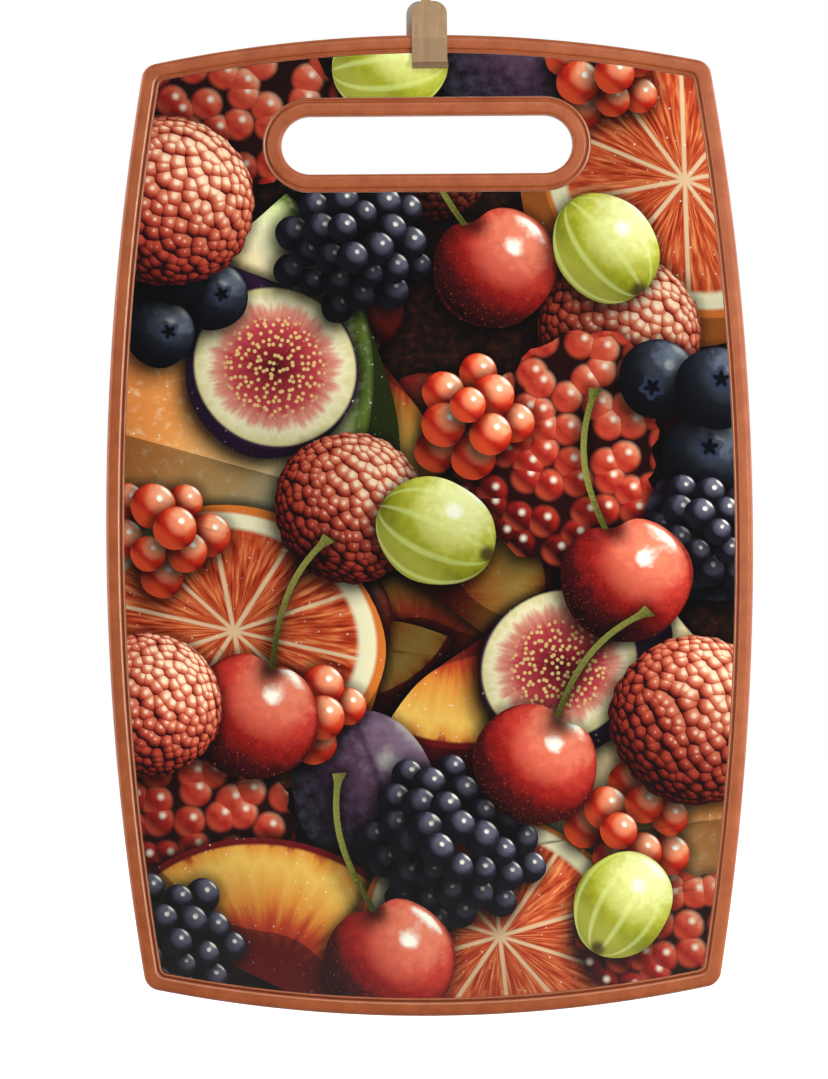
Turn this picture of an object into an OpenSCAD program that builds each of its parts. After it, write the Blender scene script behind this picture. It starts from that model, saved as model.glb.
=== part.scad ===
// Printed plastic cutting board with a soft moulded rim and grip ring, hanging from a spring clip.
// The board hangs upright: +X is to the right, the printed front looks along -Y and +Z is up.
// The origin is the centre of the eye at the top of the clip.

/* [Board] */
// Width across the bowed long sides
board_w = 211; // [180:1:260]
// Height from the bowed bottom edge to the bowed top edge
board_h = 320; // [260:1:400]
// Radius of the bow along each long side
side_bow_r = 900; // [600:10:1500]
// Radius of the bow along the top and bottom edges
end_bow_r = 450; // [350:10:900]
// How far the widest level lies below the middle of the board
belly_drop = 3.5; // [0:0.5:12]
// Radius of the four outer corners
corner_r = 5.5; // [3:0.5:12]
// Radius of the corners where the rim meets the print
print_corner_r = 2.5; // [2:0.5:9]
// Thickness of the moulded core
core_t = 5.6; // [4.4:0.1:6.6]
// Thickness of the tongue that the rim and the ring are moulded round
tongue_t = 2.6; // [1.6:0.1:3.4]

/* [Printed film] */
// Thickness of the printed film on the front
film_t = 0.4; // [0.2:0.05:0.6]
// Joint left between the film and the soft lips
film_gap = 0.1; // [0.05:0.05:0.3]

/* [Rim] */
// Thickness of the rim and of the grip ring, front to back
rim_t = 7.6; // [7.2:0.1:10]
// Width of the rim's flat face, from the outer edge to the groove
rim_face_w = 4.5; // [4.2:0.1:8]
// Radius of the rim's rounded outer edges
rim_edge_r = 1.8; // [0.8:0.1:2.6]
// Soft material outside the tip of the tongue
rim_wall = 1.7; // [1.2:0.1:2.2]

/* [Lip and groove] */
// Width of the groove between the face and the lip
groove_w = 0.7; // [0.4:0.05:1.2]
// Depth of the groove below the face
groove_depth = 0.75; // [0.6:0.05:0.85]
// Width of the lip that ends the soft moulding
lip_w = 0.7; // [0.4:0.05:1.2]
// How far the lip's crown lies below the face
lip_drop = 0.4; // [0.2:0.05:0.55]
// Radius of the face's edge at the groove
bead_r = 0.5; // [0.1:0.05:0.6]
// How far the lip and the groove lap over the face of the core
flange_lap = 1.6; // [1:0.1:2.2]

/* [Handle slot] */
// Length of the handle slot
slot_w = 95; // [70:0.5:120]
// Height of the handle slot, which has round ends
slot_h = 19; // [16:0.2:28]
// From the top edge of the board down to the middle of the slot
slot_drop = 35.8; // [26:0.2:60]
// Width of the grip ring's flat face
ring_face_w = 4.5; // [4.2:0.1:8]
// Radius of the grip ring's edges round the slot
ring_edge_r = 1.3; // [0.6:0.1:2.2]
// Soft material between the slot and the tongue
ring_wall = 1.7; // [1.2:0.1:2.2]

/* [Keys] */
// Radius of the holes through the tongue that the soft plastic fills
key_r = 0.8; // [0.5:0.05:1]
// Keys along each long side
side_keys = 9; // [3:1:12]
// Keys along the top edge and along the bottom edge
end_keys = 6; // [2:1:9]
// Keys along each straight of the grip ring
ring_keys = 5; // [2:1:8]
// Bonding gap between the soft plastic and the core
bond_gap = 0.05; // [0.02:0.01:0.1]

/* [Clip] */
// Thickness of the spring strip
strip_t = 0.8; // [0.5:0.1:1]
// Width of the back leaf
back_leaf_w = 13; // [10:0.5:20]
// Width of the front leaf
front_leaf_w = 11.5; // [9:0.1:18]
// How far the front leaf sits to the right of the back leaf
front_leaf_shift = 1.1; // [0:0.1:1.5]
// How far the leaves reach down over the rim
leaf_reach = 11; // [8:0.5:16]
// From the top edge of the board up to the rounded shoulders
tab_rise = 11.2; // [10:0.2:18]
// Radius of the rounded shoulders
shoulder_r = 4.4; // [2:0.1:4.5]
// Height of the flared foot of each leaf
foot_h = 2.1; // [1:0.1:3]
// Lean of the flared foot
foot_lean = 35; // [15:1:50]
// Inner radius of the bends in the strip
bend_r = 1; // [0.5:0.1:2]
// Width of the narrow neck and of the eye
neck_w = 3.2; // [2:0.1:4]
// Length of the neck between the shoulders and the eye
neck_l = 5; // [2.5:0.5:8]
// Inner radius of the hanging eye
eye_r = 2.6; // [2:0.1:4]
// Gap between the two strips of the neck
neck_gap = 0.2; // [0.1:0.05:0.4]
// Sliding gap between each leaf and the rim
leaf_gap = 0.1; // [0.05:0.05:0.2]
// Gap between the sloping leaves and the rounded top of the rim
seat_gap = 0.2; // [0.1:0.05:0.3]

/* [Hidden] */

$fn = 64;
overrun = 1;
side_steps = 16;
end_steps = 6;
corner_steps = 5;
edge_steps = 3;
bend_steps = 5;
ring_end_keys = 3;
key_root = 0.5;

half_w = board_w / 2;
half_h = board_h / 2;
slot_r = slot_h / 2;
slot_straight = slot_w - slot_h;
slot_y = half_h - slot_drop;

rim_w = rim_face_w + groove_w + lip_w;
ring_w = ring_face_w + groove_w + lip_w;
slab_inset = rim_w - flange_lap;
ring_slab_inset = ring_w - flange_lap;
core_face = core_t / 2;
key_inset = (rim_wall + slab_inset) / 2;
ring_key_inset = (ring_wall + ring_slab_inset) / 2;

eye_outer_r = eye_r + strip_t;
board_top = -(eye_outer_r + neck_l + tab_rise);
board_mid = board_top - half_h;

side_c = [half_w - side_bow_r, -belly_drop];
top_c = [0, half_h - end_bow_r];
bottom_c = [0, end_bow_r - half_h];

// The crossing of two circles that lies to the left of the way from a to b
function crossing(a, ra, b, rb) =
    let (d = b - a,
         span = norm(d),
         along = (ra * ra - rb * rb + span * span) / (2 * span),
         off = sqrt(ra * ra - along * along),
         u = d / span)
    a + along * u + off * [-u.y, u.x];

function bearing(from, to) = atan2(to.y - from.y, to.x - from.x);

function arc(c, r, a0, a1, steps) =
    [for (i = [0 : steps]) c + r * [cos(a0 + (a1 - a0) * i / steps), sin(a0 + (a1 - a0) * i / steps)]];

function but_last(list) = [for (i = [0 : len(list) - 2]) list[i]];

function flip_x(list) = [for (i = [len(list) - 1 : -1 : 0]) [-list[i].x, list[i].y]];

// The corners tighten evenly from the outer edge to the print
function corner_at(inset) = corner_r + (print_corner_r - corner_r) * inset / rim_w;

// The right half of the board's outline, this far in from the edge, from the bottom to the top
function half_outline(inset) =
    let (r = corner_at(inset),
         low = crossing(bottom_c, end_bow_r - inset - r, side_c, side_bow_r - inset - r),
         high = crossing(side_c, side_bow_r - inset - r, top_c, end_bow_r - inset - r),
         low_end = bearing(bottom_c, low),
         low_side = bearing(side_c, low),
         high_side = bearing(side_c, high),
         high_end = bearing(top_c, high))
    concat(
        but_last(arc(bottom_c, end_bow_r - inset, -90, low_end, end_steps)),
        but_last(arc(low, r, low_end, low_side, corner_steps)),
        but_last(arc(side_c, side_bow_r - inset, low_side, high_side, side_steps)),
        but_last(arc(high, r, high_side, high_end, corner_steps)),
        arc(top_c, end_bow_r - inset, high_end, 90, end_steps));

function outline(inset) =
    let (right = half_outline(inset))
    concat(but_last(right), but_last(flip_x(right)));

// The front half of the soft moulding's section: how far in from the free edge, and how high
function half_section(face_w, wall, edge_r, slab) =
    concat(
        arc([edge_r, rim_t / 2 - edge_r], edge_r, 180, 90, edge_steps),
        arc([face_w - bead_r, rim_t / 2 - bead_r], bead_r, 90, 0, 2),
        [[face_w, rim_t / 2 - groove_depth], [face_w + groove_w, rim_t / 2 - groove_depth]],
        arc([face_w + groove_w + lip_w / 2, rim_t / 2 - lip_drop - lip_w / 2], lip_w / 2, 150, 30, 2),
        [[face_w + groove_w + lip_w, core_face],
         [slab - bond_gap, core_face],
         [slab - bond_gap, tongue_t / 2],
         [wall - bond_gap, tongue_t / 2]]);

function section(face_w, wall, edge_r, slab) =
    let (front = half_section(face_w, wall, edge_r, slab))
    concat(front, [for (i = [len(front) - 1 : -1 : 0]) [front[i].x, -front[i].y]]);

// Where the keys pass through the tongue of the board's edge
function spread(c, r, a0, a1, count) =
    [for (i = [1 : count]) c + r * [cos(a0 + (a1 - a0) * (i - 0.5) / count), sin(a0 + (a1 - a0) * (i - 0.5) / count)]];

function edge_keys() =
    let (r = corner_at(key_inset),
         low = crossing(bottom_c, end_bow_r - key_inset - r, side_c, side_bow_r - key_inset - r),
         high = crossing(side_c, side_bow_r - key_inset - r, top_c, end_bow_r - key_inset - r),
         side = spread(side_c, side_bow_r - key_inset, bearing(side_c, low), bearing(side_c, high), side_keys),
         top_a = bearing(top_c, high),
         low_a = bearing(bottom_c, low))
    concat(
        side,
        flip_x(side),
        spread(top_c, end_bow_r - key_inset, top_a, 180 - top_a, end_keys),
        spread(bottom_c, end_bow_r - key_inset, low_a, -180 - low_a, end_keys));

// Where the keys pass through the tongue round the slot, about the middle of the slot
function slot_keys() =
    let (r = slot_r + ring_key_inset,
         step = slot_straight / ring_keys,
         end = spread([slot_straight / 2, 0], r, -90, 90, ring_end_keys))
    concat(
        [for (i = [0.5 : ring_keys]) each [[i * step - slot_straight / 2, r], [i * step - slot_straight / 2, -r]]],
        end,
        flip_x(end));

// Stands the flat-drawn board up below the clip, with its front to -Y
module upright() {
    translate([0, 0, board_mid]) rotate([90, 0, 0]) children();
}

module plate(inset, t) {
    linear_extrude(height = t, center = true) polygon(outline(inset));
}

module slot_cut(r, t) {
    translate([0, slot_y, 0]) {
        cube([slot_straight, 2 * r, t + overrun], center = true);
        for (side = [-1, 1])
            translate([side * slot_straight / 2, 0, 0])
                cylinder(r = r, h = t + overrun, center = true);
    }
}

module keys(places, r, t) {
    for (p = places) translate([p.x, p.y, 0]) cylinder(r = r, h = t, center = true);
}

module core_board() {
    color("#e9e4da") upright() difference() {
        union() {
            difference() {
                plate(slab_inset, core_t);
                slot_cut(slot_r + ring_slab_inset, core_t);
            }
            difference() {
                plate(rim_wall, tongue_t);
                slot_cut(slot_r + ring_wall, tongue_t);
            }
        }
        keys(edge_keys(), key_r, core_t + overrun);
        translate([0, slot_y, 0]) keys(slot_keys(), key_r, core_t + overrun);
    }
}

module print_film() {
    color("#7d2c1e") upright() translate([0, 0, core_face + film_t / 2]) difference() {
        plate(rim_w + film_gap, film_t);
        slot_cut(slot_r + ring_w + film_gap, film_t);
    }
}

module outer_rim() {
    profile = section(rim_face_w, rim_wall, rim_edge_r, slab_inset);
    count = len(outline(0));
    rows = len(profile);
    points = [for (p = profile) each [for (q = outline(p.x)) [q.x, q.y, p.y]]];
    faces = [for (j = [0 : rows - 1]) each [for (i = [0 : count - 1])
        let (a = j * count + i,
             b = j * count + (i + 1) % count,
             c = (j + 1) % rows * count + (i + 1) % count,
             d = (j + 1) % rows * count + i)
        each [[a, c, b], [a, d, c]]]];
    color("#ad5a38") upright() {
        polyhedron(points, faces);
        keys(edge_keys(), key_r - bond_gap, tongue_t + 2 * key_root);
    }
}

module grip_ring() {
    profile = section(ring_face_w, ring_wall, ring_edge_r, ring_slab_inset);
    wall = [for (p = profile) [slot_r + p.x, p.y]];
    color("#ad5a38") upright() translate([0, slot_y, 0]) {
        for (side = [0, 1]) mirror([side, 0, 0])
            translate([slot_straight / 2, 0, 0]) rotate([0, 0, -90])
                rotate_extrude(angle = 180) polygon(wall);
        for (side = [0, 1]) mirror([0, side, 0])
            rotate([90, 0, 90]) linear_extrude(height = slot_straight, center = true) polygon(wall);
        keys(slot_keys(), key_r - bond_gap, tongue_t + 2 * key_root);
    }
}

// The middle line of one leaf, from its foot to the eye: how far back, and how high
leaf_y = rim_t / 2 + leaf_gap + strip_t / 2;
neck_y = (neck_gap + strip_t) / 2;
shoulder_z = board_top + tab_rise;
slope_h = tab_rise + rim_edge_r;
slope_lean = atan2(leaf_y - neck_y, slope_h);
seat_z = board_top - rim_edge_r
    + (rim_edge_r + seat_gap - (rim_edge_r + leaf_gap) * cos(slope_lean)) / sin(slope_lean);
leaf_path = [
    [leaf_y + foot_h * tan(foot_lean), board_top - leaf_reach],
    [leaf_y, board_top - leaf_reach + foot_h],
    [leaf_y, seat_z],
    [neck_y, seat_z + (leaf_y - neck_y) / tan(slope_lean)],
    [neck_y, -(eye_r + strip_t / 2)]];

// One rounded bend of a path at its point i
function bend(path, i) =
    let (p = path[i],
         u = (path[i - 1] - p) / norm(path[i - 1] - p),
         v = (path[i + 1] - p) / norm(path[i + 1] - p),
         half = acos(u * v) / 2,
         r = bend_r + strip_t / 2,
         middle = (u + v) / norm(u + v),
         c = p + middle * r / sin(half),
         start = bearing(c, p + u * r / tan(half)),
         turn = (cross(u, v) > 0 ? -1 : 1) * (180 - 2 * half))
    arc(c, r, start, start + turn, bend_steps);

function bent(path) =
    concat([path[0]], [for (i = [1 : len(path) - 2]) each bend(path, i)], [path[len(path) - 1]]);

function heading(path, i) =
    let (a = path[max(i - 1, 0)],
         b = path[min(i + 1, len(path) - 1)])
    (b - a) / norm(b - a);

function strip(path, t) =
    let (left = [for (i = [0 : len(path) - 1]) path[i] + t / 2 * [-heading(path, i).y, heading(path, i).x]],
         right = [for (i = [len(path) - 1 : -1 : 0]) path[i] - t / 2 * [-heading(path, i).y, heading(path, i).x]])
    concat(left, right);

module leaf_outline(width) {
    for (side = [-1, 1])
        translate([side * (width / 2 - shoulder_r), shoulder_z - shoulder_r]) circle(r = shoulder_r);
    translate([shoulder_r - width / 2, shoulder_z - shoulder_r]) square([width - 2 * shoulder_r, shoulder_r]);
    translate([-width / 2, board_top - leaf_reach - overrun])
        square([width, leaf_reach + tab_rise - shoulder_r + overrun]);
}

// A leaf with round shoulders, cut from the bent strip
module leaf(width) {
    intersection() {
        rotate([90, 0, 90])
            linear_extrude(height = width + overrun, center = true) polygon(strip(bent(leaf_path), strip_t));
        rotate([90, 0, 0]) linear_extrude(height = 4 * leaf_y, center = true) leaf_outline(width);
    }
}

module neck() {
    rotate([90, 0, 90])
        linear_extrude(height = neck_w, center = true) intersection() {
            polygon(strip(bent(leaf_path), strip_t));
            translate([0, shoulder_z - foot_h]) square([leaf_y, neck_l + foot_h + strip_t]);
        }
}

module eye() {
    difference() {
        rotate([0, 90, 0]) cylinder(r = eye_outer_r, h = neck_w, center = true);
        rotate([0, 90, 0]) cylinder(r = eye_r, h = neck_w + overrun, center = true);
        translate([0, 0, -eye_r - strip_t / 2])
            cube([neck_w + overrun, neck_gap, 2 * strip_t], center = true);
    }
}

module hanging_clip() {
    color("#b09372") {
        leaf(back_leaf_w);
        neck();
        mirror([0, 1, 0]) {
            translate([front_leaf_shift, 0, 0]) leaf(front_leaf_w);
            neck();
        }
        eye();
    }
}

core_board();
print_film();
outer_rim();
grip_ring();
hanging_clip();
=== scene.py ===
import math

import bmesh
import bpy
import numpy as np
from mathutils import Matrix, Vector
from mathutils.geometry import convex_hull_2d, delaunay_2d_cdt


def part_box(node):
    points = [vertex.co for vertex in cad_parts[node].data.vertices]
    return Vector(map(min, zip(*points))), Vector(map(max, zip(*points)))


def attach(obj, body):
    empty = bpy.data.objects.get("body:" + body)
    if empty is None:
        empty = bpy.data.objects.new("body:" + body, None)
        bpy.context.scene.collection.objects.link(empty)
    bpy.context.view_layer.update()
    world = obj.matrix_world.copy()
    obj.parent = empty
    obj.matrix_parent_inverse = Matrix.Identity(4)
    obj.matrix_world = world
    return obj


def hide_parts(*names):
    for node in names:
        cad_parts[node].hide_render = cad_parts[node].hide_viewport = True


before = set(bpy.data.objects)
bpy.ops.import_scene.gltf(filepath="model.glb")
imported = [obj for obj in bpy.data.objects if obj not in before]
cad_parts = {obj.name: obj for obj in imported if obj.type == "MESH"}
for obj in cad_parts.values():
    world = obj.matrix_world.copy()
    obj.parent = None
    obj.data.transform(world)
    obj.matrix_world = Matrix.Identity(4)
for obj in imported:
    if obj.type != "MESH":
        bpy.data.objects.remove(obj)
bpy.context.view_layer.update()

# The camera stands level with the middle of the board, straight in front of it and far back, as a long lens
# does. The board's middle and its height are measured in the photograph's own pixels. The board hangs a
# little askew there, so the camera is turned by as much.
PHOTO_W, PHOTO_H = 828, 1079
BOARD_MIDDLE_PX = (429.5, 525.5)
BOARD_TALL_PX = 980.1
TILT = math.radians(0.4)
CAMERA_BACK, FAR_CLIP = 2.0, 20.0
SENSOR = 36.0


def put(name, data):
    """A new object in the scene, of a mesh, a camera or a lamp."""
    thing = bpy.data.objects.new(name, data)
    bpy.context.scene.collection.objects.link(thing)
    return thing


rim_low, rim_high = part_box("outer_rim")
board_tall = rim_high.z - rim_low.z
board_mid = (rim_low + rim_high) / 2
per_px = board_tall / BOARD_TALL_PX
right = Vector((math.cos(TILT), 0, -math.sin(TILT)))
up = Vector((math.sin(TILT), 0, math.cos(TILT)))
back = Vector((0, -1, 0))
aim = board_mid - right * (BOARD_MIDDLE_PX[0] - PHOTO_W / 2) * per_px
aim -= up * (PHOTO_H / 2 - BOARD_MIDDLE_PX[1]) * per_px

lens = bpy.data.cameras.new("camera")
lens.sensor_width = SENSOR
lens.lens = SENSOR * CAMERA_BACK / (PHOTO_H * per_px)
lens.clip_end = FAR_CLIP
camera = put("camera", lens)
axes = Matrix((right, up, back)).transposed()
camera.matrix_world = Matrix.Translation(aim + back * CAMERA_BACK) @ axes.to_4x4()
bpy.context.scene.camera = camera

# Core: an injection moulded polypropylene slab. Only its back shows, between the rim and the ring.
# It keeps the mould's fine matt grain, with a faint flow of tone across it.
MM = 0.001
MIX = {"data_type": "RGBA"}
CORE_GRAIN, CORE_GRAIN_DEEP = 0.4 * MM, 0.04 * MM
CORE_CLOUDS_PER_METRE = 9.0


def linear(hexa):
    """An sRGB hex colour as the linear RGBA that sockets take."""
    parts = [int(hexa[i:i + 2], 16) / 255 for i in (0, 2, 4)]
    return tuple(c / 12.92 if c <= 0.04045 else ((c + 0.055) / 1.055) ** 2.4 for c in parts) + (1.0,)


def add(tree, kind, settings=None, *inputs, **named):
    """Adds a node with its settings and links. Inputs go by place among the open sockets, or by name."""
    node = tree.nodes.new("ShaderNode" + kind)
    for key, value in (settings or {}).items():
        if key != "stops":
            setattr(node, key, value)
            continue
        while len(node.color_ramp.elements) < len(value):
            node.color_ramp.elements.new(1.0)
        for stop, (place, hexa) in zip(node.color_ramp.elements, value):
            stop.position, stop.color = place, linear(hexa)
    sockets = [s for s in node.inputs if s.enabled]
    pairs = list(zip(sockets, inputs)) + [(node.inputs[k.replace("_", " ")], v) for k, v in named.items()]
    for socket, value in pairs:
        if isinstance(value, bpy.types.Node):
            value = next(s for s in value.outputs if s.enabled)
        if isinstance(value, bpy.types.NodeSocket):
            tree.links.new(value, socket)
        else:
            socket.default_value = value
    return node


def finish_of(name, **inputs):
    """A new material of the given name: its tree and its main shader, with the inputs set."""
    material = bpy.data.materials.new(name)
    material.use_nodes = True
    tree = material.node_tree
    tree.nodes.clear()
    shader = add(tree, "BsdfPrincipled", None, **inputs)
    add(tree, "OutputMaterial", None, shader)
    return material, tree, shader


# Moulded polypropylene: milky, waxy and matt, with a spark-eroded grain.
core_mat, tree, shader = finish_of("moulded_polypropylene", Roughness=0.5, IOR=1.49)
place = add(tree, "TexCoord").outputs["Object"]
flow = add(tree, "TexNoise", None, Vector=place, Scale=CORE_CLOUDS_PER_METRE, Detail=3.0)
tone = add(tree, "Mix", MIX, flow, linear("E6E1D6"), linear("EFEBE2"))
grain = add(tree, "TexNoise", None, Vector=place, Scale=1 / CORE_GRAIN, Detail=2.0)
bump = add(tree, "Bump", None, Strength=0.35, Distance=CORE_GRAIN_DEEP, Height=grain)
tree.links.new(tone.outputs[2], shader.inputs["Base Color"])
tree.links.new(bump.outputs[0], shader.inputs["Normal"])
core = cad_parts["core_board"]
core.data.materials.clear()
core.data.materials.append(core_mat)

# Rim and grip ring: one shot of soft thermoplastic rubber, moulded round the core's tongue on both faces.
# Each has a rounded free edge, a flat face, then a fine groove and a low lip that meets the print.
film_low, film_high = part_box("print_film")
core_low, core_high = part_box("core_board")
# The outline: the radii of the long sides and of the ends, how far the widest place lies below the middle,
# and the radii of the corners at the outer edge and at the print.
SIDE_BOW, END_BOW = 900 * MM, 450 * MM
BELLY_DROP = 3.5 * MM
CORNER, PRINT_CORNER = 5.5 * MM, 2.5 * MM
# The section: a groove and a lip, a small bead beside the groove, and a rounded free edge with a fine parting
# line round its middle. The lip laps the core's face, and the rest holds the tongue.
GROOVE_W, LIP_W = 0.7 * MM, 0.7 * MM
GROOVE_DEEP, LIP_DROP, BEAD = 0.75 * MM, 0.4 * MM, 0.7 * MM
RIM_EDGE, RING_EDGE = 1.8 * MM, 1.3 * MM
LAP, TONGUE_HALF = 1.6 * MM, 1.3 * MM
PARTING, FILM_GAP = 0.06 * MM, 0.1 * MM
ROUND_STEPS, FACE_STEPS, BEAD_STEPS, GROOVE_STEPS = 8, 4, 4, 6
RIM_THICK, CORE_THICK = rim_high.y - rim_low.y, core_high.y - core_low.y
RIM_W = rim_high.x - film_high.x - FILM_GAP
FACE_W = RIM_W - GROOVE_W - LIP_W
TONGUE_WALL = rim_high.x - core_high.x


def crossing(a, ra, b, rb):
    """The crossing of two circles that lies to the left of the way from a to b."""
    way = b - a
    span = way.length
    along = (ra * ra - rb * rb + span * span) / (2 * span)
    off = math.sqrt(ra * ra - along * along)
    unit = way / span
    return a + unit * along + Vector((-unit.y, unit.x)) * off


def bearing(a, b):
    """The angle of the way from a to b."""
    return math.atan2(b.y - a.y, b.x - a.x)


def arc(centre, r, a0, a1, steps):
    """The points of an arc from angle a0 to angle a1, with both its ends."""
    turns = [a0 + (a1 - a0) * i / steps for i in range(steps + 1)]
    return [Vector((centre[0] + r * math.cos(a), centre[1] + r * math.sin(a))) for a in turns]


def board_outline(inset, sides=60, ends=40, corners=14):
    """The board's barrel outline, this far in from its edge, about the board's middle."""
    r = CORNER + (PRINT_CORNER - CORNER) * inset / RIM_W
    side_r, end_r = SIDE_BOW - inset, END_BOW - inset
    side = Vector(((rim_high.x - rim_low.x) / 2 - SIDE_BOW, -BELLY_DROP))
    top, low = Vector((0, board_tall / 2 - END_BOW)), Vector((0, END_BOW - board_tall / 2))
    low_c = crossing(low, end_r - r, side, side_r - r)
    high_c = crossing(side, side_r - r, top, end_r - r)
    half = arc(low, end_r, -math.pi / 2, bearing(low, low_c), ends // 2)[:-1]
    half += arc(low_c, r, bearing(low, low_c), bearing(side, low_c), corners)[:-1]
    half += arc(side, side_r, bearing(side, low_c), bearing(side, high_c), sides)[:-1]
    half += arc(high_c, r, bearing(side, high_c), bearing(top, high_c), corners)[:-1]
    half += arc(top, end_r, bearing(top, high_c), math.pi / 2, ends // 2)
    return half[:-1] + [Vector((-p.x, p.y)) for p in reversed(half)][:-1]


ring_low, ring_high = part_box("grip_ring")
SLOT_R = (ring_high.z - ring_low.z) / 2 - RIM_W
SLOT_HALF = (ring_high.x - ring_low.x) / 2 - RIM_W - SLOT_R
SLOT_MID = Vector((0, (ring_low.z + ring_high.z) / 2 - board_mid.z))


def slot_outline(outset, ends=40, sides=24):
    """The slot's round-ended outline, this far out from its edge, about the board's middle."""
    r = SLOT_R + outset
    half = arc((SLOT_HALF, 0), r, -math.pi / 2, math.pi / 2, ends)
    half += [Vector((SLOT_HALF - 2 * SLOT_HALF * i / sides, r)) for i in range(1, sides)]
    return [p + SLOT_MID for p in half + [-p for p in half]]


def soft_section(edge):
    """The moulding's section: how far in from the free edge, and how far out from the middle plane."""
    half, flat = RIM_THICK / 2, FACE_W - BEAD - edge
    groove = (FACE_W + GROOVE_W / 2, half - GROOVE_DEEP + GROOVE_W / 2)
    lip = (FACE_W + GROOVE_W + LIP_W / 2, half - LIP_DROP - LIP_W / 2)
    front = [Vector((-PARTING, 0)), Vector((0, PARTING * 2))]
    front += arc((edge, half - edge), edge, math.pi, math.pi / 2, ROUND_STEPS)
    front += [Vector((edge + flat * i / FACE_STEPS, half)) for i in range(1, FACE_STEPS)]
    front += arc((FACE_W - BEAD, half - BEAD), BEAD, math.pi / 2, 0, BEAD_STEPS)
    front += arc(groove, GROOVE_W / 2, -math.pi, 0, GROOVE_STEPS)[1:-1]
    front += arc(lip, LIP_W / 2, math.pi, 0, ROUND_STEPS)
    front += [Vector((RIM_W, CORE_THICK / 2)), Vector((RIM_W - LAP, CORE_THICK / 2))]
    front += [Vector((RIM_W - LAP, TONGUE_HALF)), Vector((TONGUE_WALL, TONGUE_HALF))]
    return front + [Vector((p.x, -p.y)) for p in reversed(front[1:])]


# The bead and the lip get a painted highlight where they stand highest, over these shares of their width:
# full on the upright sides, a share along the foot, and on the right the bead less where the outline rises.
BEAD_HIGHLIT, LIP_HIGHLIT_FROM, LIP_HIGHLIT_TO = 0.7, 0.2, 0.8
FOOT_SHARE, RIGHT_SHARE, GOES_UP = 0.5, 0.4, 0.5
SOFT_WELD, SOFT_CREASE = 1e-4 * MM, math.radians(50)


def painted_light_at(p, way, bead_highlight, lip_highlight, foot_light_shade):
    """The painted light at a point of the section, where the outline runs along the given way: up to 1 for a
    painted highlight, and down to -1 for painted shade in the groove."""
    into, low = p.x - FACE_W, RIM_THICK / 2 - abs(p.y)
    if PARTING < into < GROOVE_W - PARTING:
        return -max(way.z ** 2, foot_light_shade * way.x)
    highlit = max(abs(way.z) ** 3, FOOT_SHARE * foot_light_shade * way.x)
    if -BEAD_HIGHLIT * BEAD < into < 0 and low < BEAD:
        return highlit * bead_highlight * (1.0 if way.z < GOES_UP else RIGHT_SHARE)
    on_lip = LIP_HIGHLIT_FROM * LIP_W < into - GROOVE_W < LIP_HIGHLIT_TO * LIP_W and low < GROOVE_DEEP
    return highlit * lip_highlight if on_lip else 0.0


def piece_from(bm, name):
    """A new object from a finished bmesh."""
    mesh = bpy.data.meshes.new(name)
    bm.to_mesh(mesh)
    bm.free()
    return put(name, mesh)


def sweep(name, outline, section, *light_shares):
    """A closed moulding: an outline's loop extruded from point to point of the section, and onto itself."""
    bm = bmesh.new()
    wear = bm.verts.layers.float.new("wear")

    def loop_at(p):
        """The outline at one point of the section, in the shared frame."""
        return [Vector((q.x, -p.y, q.y + board_mid.z)) for q in outline(p.x)]

    verts = [bm.verts.new(co) for co in loop_at(section[0])]
    edges = [bm.edges.new((a, b)) for a, b in zip(verts, verts[1:] + verts[:1])]
    for p in section[1:] + section[:1]:
        made = bmesh.ops.extrude_edge_only(bm, edges=edges)["geom"]
        new_edges = [g for g in made if isinstance(g, bmesh.types.BMEdge)]
        fresh = {g for g in made if isinstance(g, bmesh.types.BMVert)}
        follow = []
        for v in verts:
            follow.append(next(e.other_vert(v) for e in v.link_edges if e.other_vert(v) in fresh))
        loop = loop_at(p)
        for v, co, last, ahead in zip(follow, loop, loop[-1:] + loop, loop[1:] + loop[:1]):
            v.co = co
            v[wear] = painted_light_at(p, (ahead - last).normalized(), *light_shares)
        edges = [e for e in new_edges if e.verts[0] in fresh and e.verts[1] in fresh]
        verts = follow
    bmesh.ops.remove_doubles(bm, verts=bm.verts, dist=SOFT_WELD)
    bmesh.ops.recalc_face_normals(bm, faces=bm.faces)
    piece = piece_from(bm, name)
    piece.data.shade_smooth()
    piece.data.set_sharp_from_angle(angle=SOFT_CREASE)
    return piece


# Soft rubber over polypropylene: satin copper brown, with the mould's fine grain and, from its flow, faint
# clouds. The bead and the lip get a painted highlight and are glossier on the sides, and the groove gets
# painted shade and is duller there and along the foot.
CLOUD, RUBBER_GRAIN, RUBBER_GRAIN_DEEP = 6 * MM, 0.5 * MM, 0.03 * MM
EDGE_GLOSS = 0.4
MADD = {"operation": "MULTIPLY_ADD"}
rubber_mat, tree, shader = finish_of("soft_moulded_rubber", IOR=1.5, Specular_Tint=linear("FFF4EC"),
                                     Sheen_Weight=0.1, Sheen_Roughness=0.3, Sheen_Tint=linear("FFE4D4"))
place = add(tree, "TexCoord").outputs["Object"]
flow = add(tree, "TexNoise", None, Vector=place, Scale=1 / CLOUD, Detail=6.0, Roughness=0.6)
flow = add(tree, "MapRange", None, flow, 0.3, 0.7, 0.0, 1.0)
tone = add(tree, "Mix", MIX, flow, linear("97451B"), linear("AE5B2D"))
gloss = add(tree, "MapRange", None, flow, 0.0, 1.0, 0.48, 0.42)
grain = add(tree, "TexNoise", None, Vector=place, Scale=1 / RUBBER_GRAIN, Detail=3.0)
bump = add(tree, "Bump", None, Strength=0.4, Distance=RUBBER_GRAIN_DEEP, Height=grain)
wear = add(tree, "Attribute", {"attribute_name": "wear"}).outputs["Fac"]
# Painted highlight: a pale colour laid over the bead and the lip.
highlit = add(tree, "MapRange", None, wear, 0.0, 1.0, 0.0, 0.8)
tone = add(tree, "Mix", MIX, highlit, tone, linear("F0BA96"))
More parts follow.
